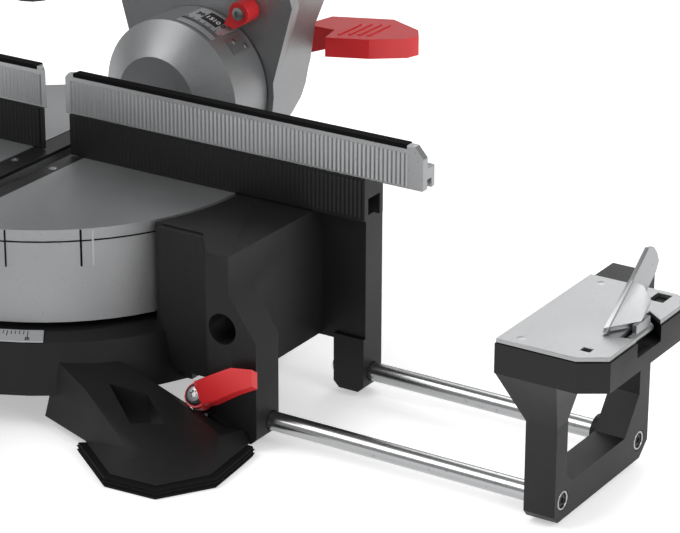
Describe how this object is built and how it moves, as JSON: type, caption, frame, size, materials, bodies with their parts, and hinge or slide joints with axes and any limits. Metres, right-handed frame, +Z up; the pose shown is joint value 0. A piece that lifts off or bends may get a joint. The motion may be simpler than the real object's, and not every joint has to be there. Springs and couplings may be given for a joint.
{
  "type": "sliding mitre saw",
  "caption": "Sliding compound mitre saw with round turntable, split fence, tilting arm on a bevel drum and pull-out work supports with flip-up stops",
  "frame": {"origin": "centre of the bounding box footprint, on the bench face", "axes": "+X to the operator's right along the fence, +Y away from the operator, +Z up"},
  "size_m": [0.901, 0.875, 0.5257],
  "materials": {
    "silver_cast": "sand-textured satin silver paint on cast aluminium",
    "black_cast": "matte black powder coat",
    "black_plastic": "fine matte texture",
    "pad_rubber": "matte",
    "red_plastic": "satin red",
    "chrome_tube": "polished",
    "steel": "brushed",
    "aluminium_plate": "satin anodised",
    "scale_print": "satin with black engraving"
  },
  "bodies": {
    "base": {"base_casting": "black_cast", "mitre_scale_plate": "scale_print", "foot_pad_front_right": "pad_rubber", "foot_pad_front_left": "pad_rubber", "foot_pad_rear_right": "pad_rubber", "foot_pad_rear_left": "pad_rubber", "pivot_bolt": "steel", "fence_casting_right": "black_cast", "fence_casting_left": "black_cast"},
    "turntable": {"turntable_casting": "silver_cast", "kerf_insert": "black_plastic", "mitre_pointer": "red_plastic", "bevel_scale_plate": "black_plastic", "bevel_pivot_bolt": "steel"},
    "mitre_knob": {"mitre_lock_knob": "black_plastic", "mitre_lock_rod": "steel"},
    "detent": {"detent_lever": "red_plastic"},
    "arm": {"bevel_arm": "silver_cast", "bevel_pointer": "red_plastic", "rail_bush_right": "black_plastic", "rail_bush_left": "black_plastic"},
    "bevel_lever": {"bevel_lock_lever": "red_plastic"},
    "slide_knob": {"slide_lock_knob": "black_plastic"},
    "carriage": {"head_yoke": "silver_cast", "rail_right": "chrome_tube", "rail_left": "chrome_tube", "rail_end_cap": "black_plastic", "hinge_pin": "steel"},
    "head": {"head_casting": "silver_cast", "gear_housing": "silver_cast", "motor_housing": "black_plastic", "motor_end_cap": "black_plastic", "handle_grip": "black_plastic"},
    "guard": {"lower_guard": "black_plastic"},
    "spindle": {"arbor": "steel", "saw_blade": "steel", "outer_flange": "steel", "blade_bolt": "steel", "drive_gear": "steel"},
    "rotor": {"motor_armature": "steel"},
    "trigger_body": {"trigger": "red_plastic"},
    "lock_off": {"lock_off_button": "red_plastic"},
    "fence_upper_right": {"fence_slide_right": "aluminium_plate"},
    "fence_clamp_right": {"fence_knob_right": "black_plastic"},
    "support_right": {"end_bracket_right": "black_cast", "top_plate_right": "aluminium_plate", "tube_front_right": "chrome_tube", "tube_rear_right": "chrome_tube"},
    "clamp_right": {"clamp_lever_right": "red_plastic"},
    "stop_right": {"flip_stop_right": "steel"},
    "fence_upper_left": {"fence_slide_left": "aluminium_plate"},
    "fence_clamp_left": {"fence_knob_left": "black_plastic"},
    "support_left": {"end_bracket_left": "black_cast", "top_plate_left": "aluminium_plate", "tube_front_left": "chrome_tube", "tube_rear_left": "chrome_tube"},
    "clamp_left": {"clamp_lever_left": "red_plastic"},
    "stop_left": {"flip_stop_left": "steel"}
  },
  "joints": [
    {"name": "mitre", "type": "hinge", "parent": "base", "child": "turntable", "pos_m": [0, -0.1245, 0.06], "axis": [0, 0, 1], "range_deg": [-50, 50]},
    {"name": "mitre_knob_turn", "type": "hinge", "parent": "turntable", "child": "mitre_knob", "pos_m": [0, -0.3945, 0.082], "axis": [0, 1, 0], "range_deg": [0, 180]},
    {"name": "detent_press", "type": "hinge", "parent": "turntable", "child": "detent", "pos_m": [0, -0.3645, 0.057], "axis": [1, 0, 0], "range_deg": [-5, 0], "stiffness_Nm_per_rad": 4, "springref_deg": 17.19},
    {"name": "bevel", "type": "hinge", "parent": "turntable", "child": "arm", "pos_m": [0, 0.0385, 0.125], "axis": [0, 1, 0], "range_deg": [-45, 0]},
    {"name": "bevel_lever_turn", "type": "hinge", "parent": "arm", "child": "bevel_lever", "pos_m": [0, 0.1055, 0.125], "axis": [0, 1, 0], "range_deg": [0, 40]},
    {"name": "slide_knob_turn", "type": "hinge", "parent": "arm", "child": "slide_knob", "pos_m": [0.06, 0.1075, 0.318], "axis": [1, 0, 0], "range_deg": [0, 180]},
    {"name": "head_slide", "type": "slide", "parent": "arm", "child": "carriage", "axis": [0, -1, 0], "range_m": [0, 0.2]},
    {"name": "chop", "type": "hinge", "parent": "carriage", "child": "head", "pos_m": [0, 0.0255, 0.282], "axis": [1, 0, 0], "range_deg": [0, 42]},
    {"name": "guard_swing", "type": "hinge", "parent": "head", "child": "guard", "pos_m": [0, -0.12411, 0.34001], "axis": [1, 0, 0], "range_deg": [0, 116]},
    {"name": "spindle_spin", "type": "hinge", "parent": "head", "child": "spindle", "pos_m": [0, -0.12411, 0.34001], "axis": [1, 0, 0], "continuous": true},
    {"name": "rotor_spin", "type": "hinge", "parent": "head", "child": "rotor", "pos_m": [0, -0.09051, 0.34744], "axis": [1, 0, 0], "continuous": true},
    {"name": "trigger_pull", "type": "hinge", "parent": "head", "child": "trigger_body", "pos_m": [0, -0.113, 0.50628], "axis": [1, 0, 0], "range_deg": [-7, 0], "stiffness_Nm_per_rad": 0.4, "springref_deg": 5.73},
    {"name": "lock_off_press", "type": "slide", "parent": "head", "child": "lock_off", "axis": [-1, 0, 0], "range_m": [0, 0.003], "stiffness_N_per_m": 300, "springref_m": -0.002},
    {"name": "fence_out_right", "type": "slide", "parent": "base", "child": "fence_upper_right", "axis": [1, 0, 0], "range_m": [0, 0.07]},
    {"name": "fence_knob_turn_right", "type": "hinge", "parent": "base", "child": "fence_clamp_right", "pos_m": [0.2, -0.0945, 0.142], "axis": [0, 1, 0], "range_deg": [0, 180]},
    {"name": "support_slide_right", "type": "slide", "parent": "base", "child": "support_right", "axis": [1, 0, 0], "range_m": [-0.15, 0]},
    {"name": "clamp_turn_right", "type": "hinge", "parent": "base", "child": "clamp_right", "pos_m": [0.173, -0.1977, 0.0154], "axis": [0, -0.8192, 0.5736], "range_deg": [-25, 0]},
    {"name": "stop_flip_right", "type": "hinge", "parent": "support_right", "child": "stop_right", "pos_m": [0.444, -0.1755, 0.118], "axis": [0, 1, 0], "range_deg": [0, 90]},
    {"name": "fence_out_left", "type": "slide", "parent": "base", "child": "fence_upper_left", "axis": [-1, 0, 0], "range_m": [0, 0.07]},
    {"name": "fence_knob_turn_left", "type": "hinge", "parent": "base", "child": "fence_clamp_left", "pos_m": [-0.2, -0.0945, 0.142], "axis": [0, 1, 0], "range_deg": [0, 180]},
    {"name": "support_slide_left", "type": "slide", "parent": "base", "child": "support_left", "axis": [-1, 0, 0], "range_m": [-0.15, 0]},
    {"name": "clamp_turn_left", "type": "hinge", "parent": "base", "child": "clamp_left", "pos_m": [-0.173, -0.1977, 0.0154], "axis": [0, 0.8192, -0.5736], "range_deg": [-25, 0]},
    {"name": "stop_flip_left", "type": "hinge", "parent": "support_left", "child": "stop_left", "pos_m": [-0.444, -0.1755, 0.118], "axis": [0, -1, 0], "range_deg": [0, 90]}
  ],
  "couplings": [
    {"joint": "guard_swing", "follows": "chop", "ratio": 2.7381},
    {"joint": "rotor_spin", "follows": "spindle_spin", "ratio": -3}
  ]
}
